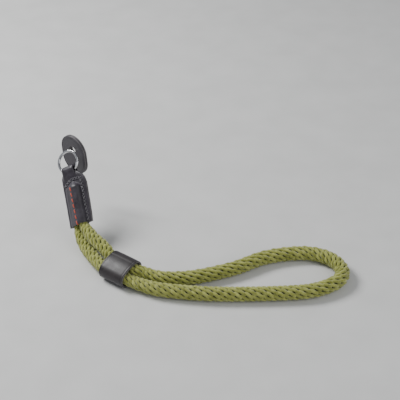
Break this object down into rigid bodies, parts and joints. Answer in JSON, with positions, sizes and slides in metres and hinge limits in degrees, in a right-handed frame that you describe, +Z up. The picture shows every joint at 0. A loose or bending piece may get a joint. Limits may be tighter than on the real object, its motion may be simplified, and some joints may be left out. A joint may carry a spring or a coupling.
{
  "type": "camera wrist strap",
  "caption": "Wrist strap for a camera: a loop of thick braided olive cotton rope through a leather keeper, held in a leather tab on a steel split ring, with a round leather guard.",
  "frame": {"origin": "top of the inside of the split ring, where the camera's lug holds it", "axes": "+Z up, +X the way the loop lies from the tab, -Y towards the viewer"},
  "size_m": [0.1829, 0.1203, 0.0575],
  "materials": {
    "guard_leather": "satin",
    "ring_steel": "polished",
    "tab_leather": "satin",
    "olive_rope": "matte",
    "keeper_leather": "gloss"
  },
  "bodies": {
    "strap": {"end_tab": "tab_leather", "rope": "olive_rope", "keeper": "keeper_leather"},
    "ring": {"split_ring": "ring_steel", "guard_patch": "guard_leather"}
  },
  "joints": [
    {"name": "ring_swing", "type": "hinge", "parent": "strap", "child": "ring", "pos_m": [-0.00036, -0.00925, -0.00872], "axis": [0.8695, -0.1813, 0.4594], "range_deg": [0, 110]}
  ]
}
